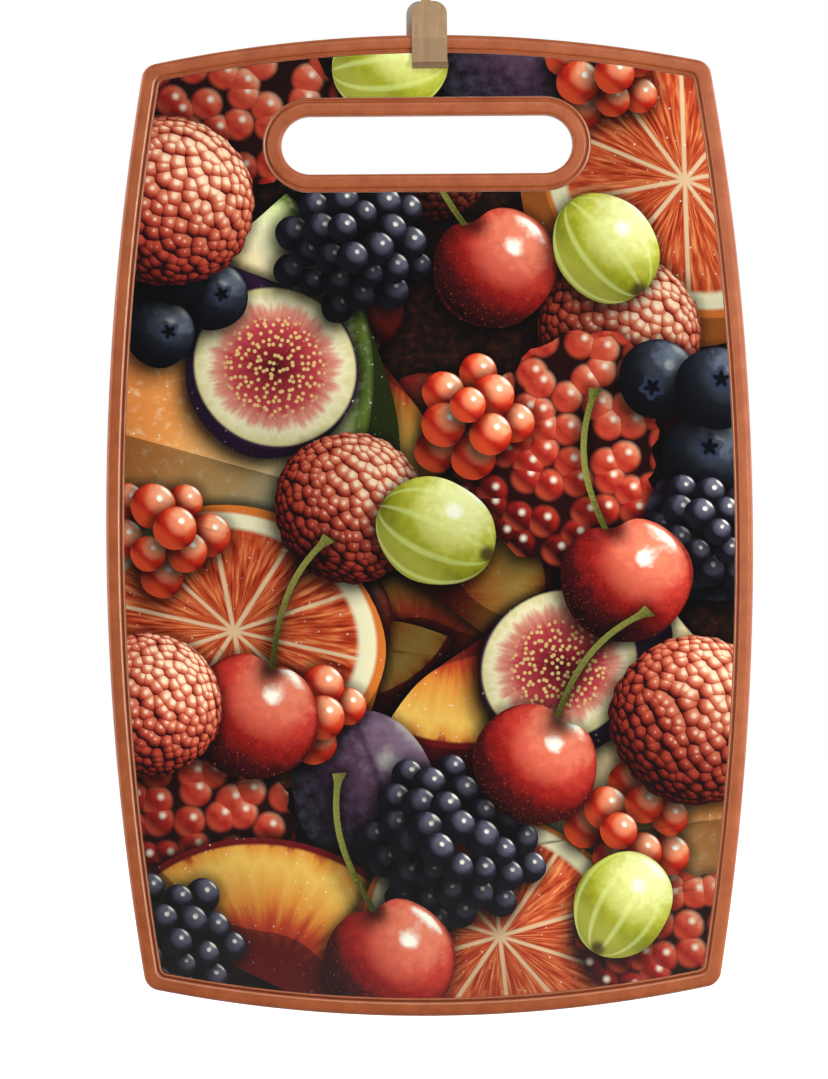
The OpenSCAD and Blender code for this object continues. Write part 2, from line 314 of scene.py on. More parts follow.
# Painted shade: a dark colour laid in the groove on the sides and along the foot, with a duller finish there.
groove_shade = add(tree, "MapRange", None, wear, 0.0, -1.0, 0.0, 0.75)
tone = add(tree, "Mix", MIX, groove_shade, tone, linear("5A1604"))
gloss = add(tree, "Math", MADD, groove_shade, EDGE_GLOSS, gloss)
gloss = add(tree, "Math", MADD, highlit, -EDGE_GLOSS, gloss)
tree.links.new(gloss.outputs[0], shader.inputs["Roughness"])
tree.links.new(tone.outputs[2], shader.inputs["Base Color"])
tree.links.new(bump.outputs[0], shader.inputs["Normal"])
# Each moulding's name, outline, free edge and solid, and how much painted light its bead, lip and foot get.
MOULDINGS = [
    ("rim_moulding", board_outline, RIM_EDGE, "outer_rim", (0.6, 0.3, 1.0)),
    ("ring_moulding", slot_outline, RING_EDGE, "grip_ring", (0.2, 0.8, 0.0)),
]
for name, outline, edge, node, light_shares in MOULDINGS:
    moulding = sweep(name, outline, soft_section(edge), *light_shares)
    moulding.data.materials.append(rubber_mat)
    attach(moulding, "board")
    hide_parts(node)

# Print: a polypropylene film, printed on its inner side and moulded onto the core's face, inside the soft
# lips. The picture is a dark heap of whole and cut fruit, larger than life. Each fruit is an outline in the
# flat sheet, and its sizes and places are in millimetres, from the board's middle.
KINDS = ["cherry", "blueberry", "gooseberry", "currant", "elder", "plum", "lychee", "aril", "nectarine",
         "fig", "grapefruit", "melon", "stem"]
CUT = ("nectarine", "fig", "grapefruit", "melon")


def fruit_outline(kind, seed):
    """The unit outline of one fruit, about its own middle, or about its tip for a slice of melon."""
    a = np.linspace(0, 2 * np.pi, 28 if kind in ("currant", "elder") else 64, endpoint=False)
    off_top = np.abs(np.angle(np.exp(1j * (a - np.pi / 2))))
    r = 1 + 0.012 * np.sin(3 * a + seed) + 0.01 * np.sin(5 * a + 2 * seed)
    if kind == "cherry":  # broad shoulders with a dip at the stalk
        r = r - 0.14 * np.exp(-(off_top / 0.28) ** 2) + 0.03 * np.cos(2 * a)
    if kind in ("gooseberry", "plum"):  # longer than wide
        r = r / np.sqrt((np.cos(a) / 0.86) ** 2 + np.sin(a) ** 2)
    if kind == "lychee":  # low bumps
        r = r - 0.035 + 0.035 * np.abs(np.sin(11 * a + seed))
    if kind == "fig":  # drawn out into a neck
        r = r - 0.05 + 0.42 * np.exp(-(off_top / 0.36) ** 2)
    if kind == "aril":  # an uneven lump of round seeds
        r = 0.84 + 0.07 * np.abs(np.sin(9 * a + seed))
        r = r + 0.12 * np.sin(2 * a + seed) + 0.07 * np.sin(3 * a + 2 * seed)
    if kind == "nectarine":  # a wedge: an arc of skin, and a cut side with the hollow of the stone
        a = np.radians(np.linspace(-66, 66, 36))
        y = np.linspace(np.sin(a[-1]), np.sin(a[0]), 30)[1:-1]
        x = np.cos(a[0]) - 0.2 * (1 - (y / np.sin(a[-1])) ** 2) + 0.16 * np.exp(-(y / 0.3) ** 2)
        return np.concatenate([np.c_[np.cos(a), np.sin(a)], np.c_[x, y]])
    if kind == "melon":  # a slice: an arc of rind, and a rounded tip
        a, tip = np.radians(np.linspace(-33, 33, 30)), np.radians(np.linspace(120, 240, 7))
        tip = np.c_[0.1 + 0.05 * np.cos(tip), 0.05 * np.sin(tip)]
        return np.concatenate([np.c_[np.cos(a), np.sin(a)], tip])
    if kind == "stem":  # a thin bowed stalk that widens at its end
        t = np.linspace(0, 1, 16)
        bow, half = 0.22 * np.sin(2.2 * t + 0.1 * seed), 0.022 + 0.03 * np.exp(-((1 - t) / 0.05) ** 2)
        return np.concatenate([np.c_[t, bow - half], np.c_[t, bow + half][::-1]])
    return np.c_[r * np.cos(a), r * np.sin(a)]


def spin(degrees):
    """The matrix of a turn in the sheet."""
    a = math.radians(degrees)
    return np.array([[math.cos(a), -math.sin(a)], [math.sin(a), math.cos(a)]])


# A slice's thickness is a share of its radius. Its edge is darker than its cut face.
SLICE_THICK, SLICE_SHADE = 0.42, 0.42
LEAN, SEEDS = 35, 9
PRINT_SEED = 11
rng = np.random.default_rng(PRINT_SEED)
heap = []


def lay(kind, x, y, size, turn, squash=1.0, share=1.0):
    """Lays a fruit of the given radius on the heap, squashed by its lean, and lit by a share of the light. A
    cut face lies on the edge of its slice, which shows below it."""
    seed, lean = rng.uniform(0, SEEDS), rng.uniform(-LEAN, LEAN)
    form = spin(lean) @ np.diag((1, squash)) @ spin(turn - lean) * size
    item = {"kind": KINDS.index(kind), "at": np.array([x, y]), "form": form, "size": size, "turn": turn,
            "share": share, "seed": seed, "face": kind in CUT, "pile": len(heap),
            "edge": fruit_outline(kind, seed) @ form.T + (x, y)}
    if kind in CUT:
        drop = spin(lean) @ (0, -SLICE_THICK * size * math.sqrt(1 - squash ** 2))
        both = np.concatenate([item["edge"], item["edge"] + drop])
        both = both[convex_hull_2d([tuple(p) for p in both])]
        heap.append(dict(item, edge=both, share=share * SLICE_SHADE, face=False))
    heap.append(item)


# First the deep fruit that is almost lost in the dark, by chance: how many, the radius of each kind, and how
# far the heap reaches from its middle, sideways and up.
DEEP_FRUIT = 46
DEEP_SIZES = {"cherry": 22, "aril": 36, "blueberry": 13, "plum": 26, "lychee": 24, "nectarine": 44,
              "currant": 9}
HEAP_X, HEAP_Y = 100, 155
for i in range(DEEP_FRUIT):
    kind = list(DEEP_SIZES)[rng.integers(0, len(DEEP_SIZES))]
    x, y = rng.uniform(-HEAP_X, HEAP_X), rng.uniform(-HEAP_Y, HEAP_Y)
    size, turn = DEEP_SIZES[kind] * rng.uniform(0.9, 1.15), rng.uniform(0, 360)
    lay(kind, x, y, size, turn, 0.9, rng.uniform(0.14, 0.34))
# Then the large fruit, listed from back to front: a kind, its place, radius, turn, squash and light.
LARGE_FRUIT = [
    ("aril", -70, 132, 40, 10, 0.9, 0.7), ("grapefruit", 84, 112, 50, 15, 0.84, 0.72),
    ("plum", 26, 154, 26, 70, 1, 0.7), ("nectarine", -6, 66, 58, 215, 0.9, 0.72),
    ("melon", -128, 38, 112, 12, 0.82, 0.8), ("lychee", 62, 62, 27, 0, 1, 0.8),
    ("grapefruit", -64, -34, 50, 60, 0.8, 0.78), ("aril", 44, 24, 42, 40, 0.9, 0.9),
    ("plum", 92, -2, 26, 0, 0.9, 0.6), ("nectarine", 8, -26, 54, -52, 0.86, 0.9),
    ("melon", 132, -92, 104, 158, 0.84, 0.85), ("aril", -74, -92, 38, 60, 0.9, 0.8),
    ("fig", 42, -46, 28, -64, 0.92, 0.95), ("plum", -22, -86, 27, 20, 1, 0.8),
    ("nectarine", -54, -150, 56, 62, 0.86, 0.75), ("grapefruit", 22, -134, 46, 20, 0.86, 0.8),
    ("fig", -50, 52, 29, 34, 0.95, 0.95), ("lychee", -26, 6, 25, 30, 1, 0.95),
    ("aril", 84, -140, 36, 0, 0.9, 0.75),
]
for row in LARGE_FRUIT:
    lay(*row)
# Small fruit lies in clusters, each a spiral from its rim to its middle: a kind, the cluster's middle, its
# spread, how many, and the fruit's radius and light.
CLUSTERS = [
    ("elder", -24, 92, 23, 26, 5.2, 0.9), ("blueberry", 88, 36, 20, 4, 12.5, 0.8),
    ("currant", 14, 34, 16, 9, 6.6, 1), ("blueberry", -88, 76, 18, 4, 12, 0.75),
    ("currant", -88, -2, 16, 9, 6.6, 0.9), ("elder", 6, -104, 27, 34, 5.4, 0.9),
    ("currant", 66, -98, 16, 9, 6.6, 0.95), ("elder", -88, -136, 22, 22, 5.2, 0.75),
    ("currant", -40, -60, 14, 7, 6.6, 1), ("currant", 56, 148, 16, 9, 6.6, 0.8),
    ("elder", 90, -4, 17, 16, 5, 0.85),
]
SPIRAL_TURN = 2.4
for kind, x, y, spread, count, size, share in CLUSTERS:
    for i in range(count):
        a, far = SPIRAL_TURN * i + x, spread * math.sqrt((count - i) / count)
        grown, turn = size * rng.uniform(0.86, 1.14), rng.uniform(0, 360)
        lay(kind, x + far * math.cos(a), y + far * math.sin(a), grown, turn, 1, share)
# Whole fruit lies on top: a kind, its place, radius and turn. A cherry's stem starts in its dip.
WHOLE_FRUIT = [
    ("cherry", 22, 84, 20, 24), ("lychee", -84, 106, 28, -14), ("gooseberry", 58, 90, 19, 38),
    ("gooseberry", 2, -2, 20, 66), ("cherry", 64, -18, 21, 12), ("cherry", -58, -62, 21, -22),
    ("lychee", -92, -58, 24, 12), ("cherry", -14, -142, 21, 16), ("gooseberry", 62, -124, 18, -30),
    ("lychee", 86, -64, 28, 40), ("cherry", 34, -78, 20, -34), ("gooseberry", -12, 150, 19, 96),
]
STEM_START, STEM_LONG, STEM_TURN = 0.8, 46, 78
for kind, x, y, size, turn in WHOLE_FRUIT:
    lay(kind, x, y, size, turn)
    if kind == "cherry":
        top = spin(turn) @ (0, STEM_START * size)
        lay("stem", x + top[0], y + top[1], STEM_LONG, turn + STEM_TURN)


def counter_clockwise(ring):
    """The closed outline, turned round if it runs clockwise."""
    x, y = ring.T
    return ring if (x * np.roll(y, -1) - y * np.roll(x, -1)).sum() > 0 else ring[::-1]


# The sheet is cut flat along every outline, so that each facet lies in one fruit, the foremost there. The cut
# keeps the triangles inside an outline and joins points closer than JOIN. A grid of points keeps them small.
JOIN, INSIDE, GRID = 1e-3, 1, 1.6
edge_rings = [board_outline(RIM_W + FILM_GAP), slot_outline(RIM_W + FILM_GAP)]
rings = [np.array([(p.x, p.y) for p in ring]) / MM for ring in edge_rings] + [item["edge"] for item in heap]
points, faces = [], []
for ring in rings:
    faces.append(list(range(len(points), len(points) + len(ring))))
    points += [Vector(p) for p in counter_clockwise(ring)]
reach_x, reach_y = np.abs(rings[0]).max(0)
columns, rows = np.arange(-reach_x, reach_x, GRID), np.arange(-reach_y, reach_y, GRID)
points += [Vector((x, y)) for x in columns for y in rows]
flat, _, facets, _, _, inside = delaunay_2d_cdt(points, [], faces, INSIDE, JOIN, True)
# A facet of the film lies in ring 0, its outer edge, and outside ring 1, round the slot. The rest are fruits.
kept = [(f, max(o) - 2) for f, o in zip(facets, inside) if 0 in o and 1 not in o]
owner = np.repeat([k if k >= 0 else -1 for _, k in kept], 3)
# A corner's picture depends on its point and on its facet's fruit, so each pair of them is worked out once.
pairs, pair_of = np.unique(np.c_[np.ravel([f for f, _ in kept]), owner], axis=0, return_inverse=True)
pair_of = pair_of.ravel()
spots, owner = np.array([p[:] for p in flat])[pairs[:, 0]], pairs[:, 1]


def off_outline(p, ring):
    """How far points lie outside a closed outline, in millimetres, and less than zero inside it."""
    ahead = np.roll(ring, -1, axis=0)
    way, rel = ahead - ring, p[:, None] - ring
    share = np.clip((rel * way).sum(2) / np.maximum((way * way).sum(1), 1e-9), 0, 1)
    gap = np.sqrt(((rel - share[..., None] * way) ** 2).sum(2)).min(1)
    passes = (ring[:, 1] > p[:, None, 1]) != (ahead[:, 1] > p[:, None, 1])
    rise = np.where(way[:, 1] == 0, 1, way[:, 1])
    left = p[:, None, 0] < ring[:, 0] + rel[..., 1] / rise * way[:, 0]
    return np.where((passes & left).sum(1) % 2 == 1, -gap, gap)


def soft_step(x):
    """A smooth rise from 0 to 1, as x goes from 0 to 1."""
    x = np.clip(x, 0, 1)
    return x * x * (3 - 2 * x)


# Every fruit darkens what lies under it, by a soft shadow cast away from the light and a close one all round,
# each with its width and darkness. The light comes along SUN in the sheet, and makes a cut face brighter
# towards it.
SUN = np.array([0.52, 0.58])
CAST, CAST_SOFT, CAST_DARK = np.array([-3.2, -4.4]), 11, 0.8
CLOSE_SOFT, CLOSE_DARK = 4, 0.6
FACE_GLOW = 0.3
cast_reach = CAST_SOFT / 2 + np.abs(CAST)
pile = np.array([item["pile"] for item in heap] + [-1])
shade = np.ones(len(pairs))
motif, sun = np.zeros((len(pairs), 3)), np.zeros((len(pairs), 3))
motif[:, 2] = -1
for k, item in enumerate(heap):
    low, high = item["edge"].min(0) - cast_reach, item["edge"].max(0) + cast_reach
    near = (owner < k) & (pile[owner] != item["pile"]) & (spots > low).all(1) & (spots < high).all(1)
    if near.any():
        cast = soft_step(0.5 - off_outline(spots[near] - CAST, item["edge"]) / CAST_SOFT)
        close = soft_step(1 - off_outline(spots[near], item["edge"]) / CLOSE_SOFT)
        shade[near] *= (1 - CAST_DARK * cast) * (1 - CLOSE_DARK * close)
    mine = owner == k
    rel = spots[mine] - item["at"]
    motif[mine, :2] = rel @ np.linalg.inv(item["form"]).T
    motif[mine, 2] = item["kind"]
    sun[mine] = (*(SUN @ spin(item["turn"])), item["seed"])
    shade[mine] *= item["share"] * (1 + FACE_GLOW * np.clip(rel @ SUN / item["size"], -1, 1) * item["face"])

# The sheet's front is those facets. Its edge is drawn back from their outline, and its back is filled.
bm = bmesh.new()
corners = [bm.verts.new((p.x * MM, film_low.y, p.y * MM + board_mid.z)) for p in flat]
for f, _ in kept:
    bm.faces.new([corners[i] for i in f])
bmesh.ops.delete(bm, geom=[v for v in bm.verts if not v.link_faces], context="VERTS")
walls = bmesh.ops.extrude_edge_only(bm, edges=[e for e in bm.edges if e.is_boundary])["geom"]
bmesh.ops.translate(bm, verts=[g for g in walls if isinstance(g, bmesh.types.BMVert)],
                    vec=(0, film_high.y - film_low.y, 0))
bmesh.ops.triangle_fill(bm, use_beauty=True, edges=[e for e in bm.edges if e.is_boundary])
bmesh.ops.recalc_face_normals(bm, faces=bm.faces)
sheet = piece_from(bm, "print_sheet")
mesh = sheet.data
# The front's corners carry the picture, and those of the edge and the back the dark between the fruits.
CARRIED = [("motif", "FLOAT_VECTOR", motif), ("sun", "FLOAT_VECTOR", sun), ("shade", "FLOAT", shade)]
for name, kind, values in CARRIED:
    values = values[pair_of].astype(np.float32)
    spare = np.repeat(values[owner[pair_of] < 0][:1], len(mesh.loops) - len(values), axis=0)
    layer = mesh.attributes.new(name, kind, "CORNER")
    layer.data.foreach_set("value" if kind == "FLOAT" else "vector", np.concatenate([values, spare]).ravel())
# A map to bake it through: the front over nearly all of it, and the rest in a strip beside.
STRIP, STRIP_W = 0.96, 0.02
spots_of = np.empty(len(mesh.vertices) * 3)
mesh.vertices.foreach_get("co", spots_of)
corner_of = np.empty(len(mesh.loops), int)
mesh.loops.foreach_get("vertex_index", corner_of)
share = (spots_of.reshape(-1, 3)[corner_of] - film_low) / (film_high - film_low)
in_strip = (np.arange(len(mesh.loops)) >= len(pair_of)).astype(int)
spread = np.where(in_strip, STRIP_W, STRIP - STRIP_W)
bake_map = np.c_[in_strip * (STRIP + STRIP_W * share[:, 1]) + spread * share[:, 0], share[:, 2]]
mesh.uv_layers.new(name="OFBake").data.foreach_set("uv", bake_map.astype(np.float32).ravel())
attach(sheet, "board")
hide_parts("print_film")

# Printed film: smooth, glossy polypropylene over the ink. The ink holds each fruit's own light and shade.
# motif carries a place in its fruit and the fruit's kind, sun the light's way there, and shade its shadow.
ink_mat, tree, shader = finish_of("printed_polypropylene_film", Roughness=0.14, IOR=1.49)
ADD, SUB, MUL = ({"operation": word} for word in ("ADD", "SUBTRACT", "MULTIPLY"))
DOT, FAR, SIZED, UNIT = ({"operation": word} for word in ("DOT_PRODUCT", "DISTANCE", "SCALE", "NORMALIZE"))
LONG, ROOT, ARC = ({"operation": word} for word in ("LENGTH", "SQRT", "ARCTAN2"))
ABS, MOST = ({"operation": word} for word in ("ABSOLUTE", "MAXIMUM"))
SOFT, FLAT = {"interpolation_type": "SMOOTHSTEP"}, {"voronoi_dimensions": "2D"}
motif_at = add(tree, "Attribute", {"attribute_name": "motif"}).outputs["Vector"]
u, v, kind = add(tree, "SeparateXYZ", None, motif_at).outputs
sun_at = add(tree, "Attribute", {"attribute_name": "sun"}).outputs["Vector"]
su, sv, seed = add(tree, "SeparateXYZ", None, sun_at).outputs
shadow = add(tree, "Attribute", {"attribute_name": "shade"}).outputs["Fac"]
x, _, z = add(tree, "SeparateXYZ", None, add(tree, "TexCoord").outputs["Object"]).outputs
sheet_mm = add(tree, "VectorMath", SIZED, add(tree, "CombineXYZ", None, x, z, 0.0), Scale=1 / MM)
# A whole fruit is drawn as a ball, under a light that rises off the sheet: how lit it is at a point, and how
# nearly it mirrors the light there.
SUN_RISE = 0.63
uv = add(tree, "CombineXYZ", None, u, v, 0.0)
light = add(tree, "CombineXYZ", None, su, sv, SUN_RISE)
radius = add(tree, "VectorMath", LONG, uv)
angle = add(tree, "Math", ARC, v, u)
bulge = add(tree, "Math", SUB, 1.0, add(tree, "Math", MUL, radius, radius))
bulge = add(tree, "Math", ROOT, add(tree, "Math", MOST, bulge, 0.0))
ball = add(tree, "CombineXYZ", None, u, v, bulge)
lit = add(tree, "MapRange", None, add(tree, "VectorMath", DOT, ball, light), -0.5, 1.0, 0.0, 1.0)
glance = add(tree, "VectorMath", UNIT, add(tree, "VectorMath", ADD, light, (0, 0, 1)))
glance = add(tree, "VectorMath", DOT, ball, glance)
# It also mirrors a soft lamp: window is how far a point's mirrored way lies from the lamp's middle, along the
# light's way and across it, with the ink's mottle to make its edge uneven.
SUN_REACH, WINDOW_SQUASH, WINDOW_UNEVEN = float(np.hypot(*SUN)), 1.5, 0.4
sun_flat = add(tree, "CombineXYZ", None, su, sv, 0.0)
toward = add(tree, "VectorMath", DOT, uv, sun_flat)
across = add(tree, "CombineXYZ", None, add(tree, "Math", MUL, sv, -1.0), su, 0.0)
across = add(tree, "VectorMath", DOT, uv, across)
mirrored = add(tree, "Math", MUL, bulge, 2 / SUN_REACH)
along = add(tree, "Math", MADD, toward, mirrored, -SUN_REACH)
along = add(tree, "Math", MUL, along, WINDOW_SQUASH)
across = add(tree, "Math", MUL, across, mirrored)
# The ink's own patterns: mottle is about 3 mm across, and fine about 1 mm.
mottle = add(tree, "TexNoise", None, Vector=sheet_mm, Scale=0.3, Detail=5.0, Roughness=0.6)
fine = add(tree, "TexNoise", None, Vector=sheet_mm, Scale=1.1, Detail=4.0)
window = add(tree, "VectorMath", LONG, add(tree, "CombineXYZ", None, along, across, 0.0))
window = add(tree, "Math", MADD, add(tree, "Math", SUB, mottle, 0.5), WINDOW_UNEVEN, window)
uneven = add(tree, "MapRange", None, mottle, 0.3, 0.7, -0.07, 0.07)
# Cut flesh has streaks that run out from its middle and change little on the way. They make the edges of its
# tones ragged.
STREAK_DRIFT = 0.22
spokes = add(tree, "CombineXYZ", None, seed, 0.0, add(tree, "Math", MUL, radius, STREAK_DRIFT))
spokes = add(tree, "VectorMath", ADD, add(tree, "VectorMath", UNIT, uv), spokes)
streaks = add(tree, "TexNoise", None, Vector=spokes, Scale=9.0, Detail=4.0, Roughness=0.6)
ragged = add(tree, "Math", ADD, radius, add(tree, "MapRange", None, streaks, 0.3, 0.7, -0.07, 0.07))


def over(base, top, *ramp):
    """Lays a colour over another where a value rises through a range: value, from, to, least and most."""
    share = add(tree, "MapRange", SOFT, *ramp)
    return add(tree, "Mix", MIX, share, base, linear(top) if isinstance(top, str) else top)


def bloom(stops, gloss, through=0.0):
    """The skin of a whole fruit, from shadow to light, darker at its edge, with the lamp's gloss and the
    light that comes through it."""
    skin = add(tree, "ValToRGB", {"stops": stops}, add(tree, "Math", ADD, lit, uneven))
    skin = over(skin, stops[1][1], bulge, 0.4, 0.0, 0.0, 0.6)
    skin = over(skin, stops[-2][1], toward, -0.16, -0.5, 0.0, through)
    skin = over(skin, stops[-1][1], glance, 0.7, 1.0, 0.0, 0.5 * gloss)
    return over(skin, "FFF6EE", window, 0.36, 0.1, 0.0, gloss)


def wet(flesh, amount):
    """Cut flesh is wet, so small points of light break over it."""
    drops = add(tree, "TexVoronoi", FLAT, Vector=sheet_mm, Scale=0.3).outputs["Distance"]
    drops = add(tree, "MapRange", SOFT, drops, 0.26, 0.06, 0.0, 1.0)
    return over(flesh, "FFF0E2", add(tree, "Math", MUL, drops, mottle), 0.5, 0.66, 0.0, amount)


# How many radii packed beads stand apart, and how far along the light's way a bead's glint lies.
BEADS_APART, GLINT_OFF = 1.6, 0.5


def beads(place, per_unit, way):
    """Packed round beads: how far a point is from its bead's middle, how lit it is there, and how far it is
    from the bead's glint."""
    cell = add(tree, "TexVoronoi", FLAT, Vector=place, Scale=per_unit, Randomness=0.8)
    rel = add(tree, "VectorMath", SUB, place, cell.outputs["Position"])
    rel = add(tree, "VectorMath", SIZED, rel, Scale=per_unit * BEADS_APART)
    far = add(tree, "VectorMath", LONG, rel)
    rise = add(tree, "Math", MADD, far, add(tree, "Math", MUL, far, -1.0), 1.0)
    rise = add(tree, "Math", ROOT, add(tree, "Math", MOST, rise, 0.0))
    top = add(tree, "VectorMath", ADD, rel, add(tree, "CombineXYZ", None, 0.0, 0.0, rise))
    glint = add(tree, "VectorMath", FAR, rel, add(tree, "VectorMath", SIZED, way, Scale=GLINT_OFF))
    return far, add(tree, "VectorMath", DOT, top, way), glint


def cherry():
    """Glossy dark red skin with pale specks, and a hollow at the stalk."""
    skin = bloom([(0, "0C0102"), (0.33, "3C0609"), (0.57, "8A1311"), (0.8, "C0342A"), (1, "E67A62")], 0.95)
    skin = over(skin, "D8603E", fine, 0.6, 0.72, 0.0, 0.3)
    hollow = add(tree, "VectorMath", FAR, uv, (0, 0.78, 0))
    return over(skin, "1A0205", hollow, 0.34, 0.04, 0.0, 0.8)


def blueberry():
    """Dusty blue black skin, with a five-pointed crown round a dark pit."""
    skin = bloom([(0, "030307"), (0.35, "08080F"), (0.6, "13141E"), (0.82, "2A2C3A"), (1, "6C7086")], 0.25)
    rel = add(tree, "VectorMath", SUB, uv, (0.22, -0.12, 0))
    rel_u, rel_v, _ = add(tree, "SeparateXYZ", None, rel).outputs
    crown = add(tree, "Math", MUL, add(tree, "Math", ARC, rel_v, rel_u), 5.0)
    crown = add(tree, "Math", {"operation": "COSINE"}, crown)
    far = add(tree, "Math", MADD, crown, -0.05, add(tree, "VectorMath", LONG, rel))
    return over(over(skin, "2E3550", far, 0.32, 0.26, 0.0, 0.8), "05060C", far, 0.22, 0.12, 0.0, 1.0)


def gooseberry():
    """Clear green skin with pale veins from end to end, and a brown blossom end."""
    stops = [(0, "2A2604"), (0.35, "605E0C"), (0.6, "949020"), (0.82, "BEB64C"), (1, "EEE6A6")]
    skin = bloom(stops, 0.8, 0.45)
    around = add(tree, "Math", MUL, add(tree, "Math", ARC, u, bulge), 12.0)
    skin = over(skin, "DDE09A", add(tree, "Math", {"operation": "SINE"}, around), 0.6, 1.0, 0.0, 0.3)
    return over(skin, "3A2A10", add(tree, "VectorMath", FAR, uv, (0, -0.92, 0)), 0.2, 0.06, 0.0, 0.9)


def currant():
    """Small, clear and bright red."""
    stops = [(0, "240203"), (0.35, "6E0807"), (0.6, "AE1C0E"), (0.82, "DC4A26"), (1, "FFA884")]
    return bloom(stops, 1.0, 0.6)


def elder():
    """Small, glossy and black."""
    stops = [(0, "020203"), (0.35, "07060C"), (0.6, "120F1A"), (0.82, "2A2536"), (1, "6E6880")]
    return bloom(stops, 1.0, 0.2)


def plum():
    """Purple skin under a patchy pale bloom, with a crease down one side."""
    skin = bloom([(0, "050307"), (0.35, "170A16"), (0.6, "30142A"), (0.82, "4E2A44"), (1, "84627C")], 0.3)
    skin = over(skin, "6A6680", mottle, 0.3, 0.75, 0.0, 0.22)
    return over(skin, "0A050A", add(tree, "Math", ABS, add(tree, "Math", SUB, u, 0.2)), 0.07, 0.0, 0.0, 0.5)


def lychee():
    """Leathery rose skin, set with low bumps that crowd towards its edge."""
    wide = add(tree, "Math", {"operation": "MINIMUM"}, radius, 1.0)
    wide = add(tree, "Math", {"operation": "ARCSINE"}, wide)
    wide = add(tree, "Math", {"operation": "DIVIDE"}, wide, add(tree, "Math", MOST, radius, 0.001))
    spread = add(tree, "VectorMath", SIZED, uv, Scale=wide)
    spread = add(tree, "VectorMath", ADD, spread, add(tree, "CombineXYZ", None, seed, 0.0, 0.0))
    far, bump_lit, glint = beads(spread, 6.5, sun_flat)
    tone = add(tree, "Math", MADD, bump_lit, 0.45, lit)
    tone = add(tree, "Math", MADD, add(tree, "Math", MUL, far, far), -0.26, tone)
    tone = add(tree, "Math", ADD, tone, uneven)
    stops = [(0, "1A0406"), (0.25, "64140F"), (0.55, "B03C2C"), (0.85, "E07C60"), (1.0, "FAC8AC")]
    skin = add(tree, "ValToRGB", {"stops": stops}, tone)
    skin = over(skin, "3A0808", bulge, 0.4, 0.0, 0.0, 0.7)
    glint = add(tree, "Math", MADD, glance, -0.8, glint)
    return over(skin, "FFE4D2", glint, -0.25, -0.6, 0.0, 0.6)


def aril():
    """Pomegranate: packed clear seeds, each a bead about 9 mm across, in the dark."""
    far, bead_lit, glint = beads(sheet_mm, 1 / 9, (*SUN, 0))
    tone = add(tree, "Math", MADD, bead_lit, 0.4, add(tree, "Math", MADD, lit, 0.75, uneven))
    stops = [(0, "180204"), (0.25, "5A0A0A"), (0.5, "A8201A"), (0.75, "DC5A40"), (1, "FAB496")]
    seeds = add(tree, "ValToRGB", {"stops": stops}, tone)
    seeds = over(seeds, "F0583C", bead_lit, -0.1, -0.6, 0.0, 0.5)
    seeds = over(seeds, "FFE8DA", glint, 0.32, 0.0, 0.0, 0.95)
    return over(seeds, "220506", far, 0.7, 1.05, 0.0, 1.0)


def nectarine():
    """Yellow flesh, red at the stone, inside a thin dark skin."""
    stops = [(0.3, "8A1816"), (0.45, "C44424"), (0.58, "E48A36"), (0.82, "F2BA5C"), (0.94, "E8963C"),
             (1, "B04020")]
    flesh = add(tree, "ValToRGB", {"stops": stops}, ragged)
    return wet(over(flesh, "6A1014", radius, 0.945, 0.965, 0.0, 1.0), 0.8)


def fig():
    """Dark red flesh with pips, a pale wall and a purple skin."""
    stops = [(0, "3C0812"), (0.2, "8A1C2A"), (0.5, "BE3E48"), (0.68, "DC8E7C"), (0.78, "F0DCBC"),
             (0.9, "DCC898")]
    flesh = add(tree, "ValToRGB", {"stops": stops}, ragged)
    pips = add(tree, "TexVoronoi", FLAT, Vector=sheet_mm, Scale=0.45).outputs["Distance"]
    pips = add(tree, "Math", MUL, add(tree, "MapRange", SOFT, pips, 0.34, 0.2, 0.0, 1.0),
               add(tree, "MapRange", SOFT, radius, 0.66, 0.5, 0.0, 1.0))
    flesh = over(flesh, "ECC482", pips, 0.0, 1.0, 0.0, 0.85)
    return wet(over(flesh, "2C1430", radius, 0.9, 0.94, 0.0, 1.0), 0.5)


def grapefruit():
    """Ten segments of fine sacs between pale walls, in a pale pith and an orange rind."""
    part = add(tree, "Math", {"operation": "FRACT"}, add(tree, "Math", MUL, angle, 10 / (2 * math.pi)))
    side = add(tree, "Math", ABS, add(tree, "Math", SUB, part, 0.5))
    wall = add(tree, "Math", MUL, add(tree, "Math", SUB, 0.5, side), radius)
    sacs = add(tree, "TexNoise", None, Vector=spokes, Scale=22.0, Detail=2.0)
    flesh = add(tree, "ValToRGB", {"stops": [(0.3, "8E1E10"), (0.5, "CC4A26"), (0.7, "F08E58")]}, sacs)
    flesh = over(flesh, "F0C8A4", wall, 0.035, 0.012, 0.0, 0.85)
    flesh = over(flesh, "F2E0C0", radius, 0.8, 0.85, 0.0, 1.0)
    return wet(over(flesh, "D8702C", radius, 0.93, 0.96, 0.0, 1.0), 0.7)


def melon():
    """Orange flesh that pales towards a thin green rind."""
    tone = add(tree, "Math", MADD, add(tree, "Math", SUB, streaks, 0.5), 0.12, radius)
    stops = [(0.1, "C45E28"), (0.4, "E88E4A"), (0.66, "F4BC7C"), (0.84, "F8E6C0"), (0.93, "D2D49A"),
             (0.965, "5A6A2A")]
    flesh = add(tree, "ValToRGB", {"stops": stops}, tone)
    flesh = over(flesh, "FFEED0", mottle, 0.5, 0.75, 0.0, 0.35)
    return wet(over(flesh, "3A4218", radius, 0.985, 1.0, 0.0, 1.0), 0.8)


def stem():
    """A green stalk, lit along one side."""
    tone = add(tree, "Math", SUB, fine, 0.5)
    tone = add(tree, "Math", MADD, tone, 0.6, add(tree, "Math", MADD, v, 3.0, 0.2))
    return add(tree, "ValToRGB", {"stops": [(0, "181606"), (0.5, "4A4818"), (0.9, "86803E")]}, tone)


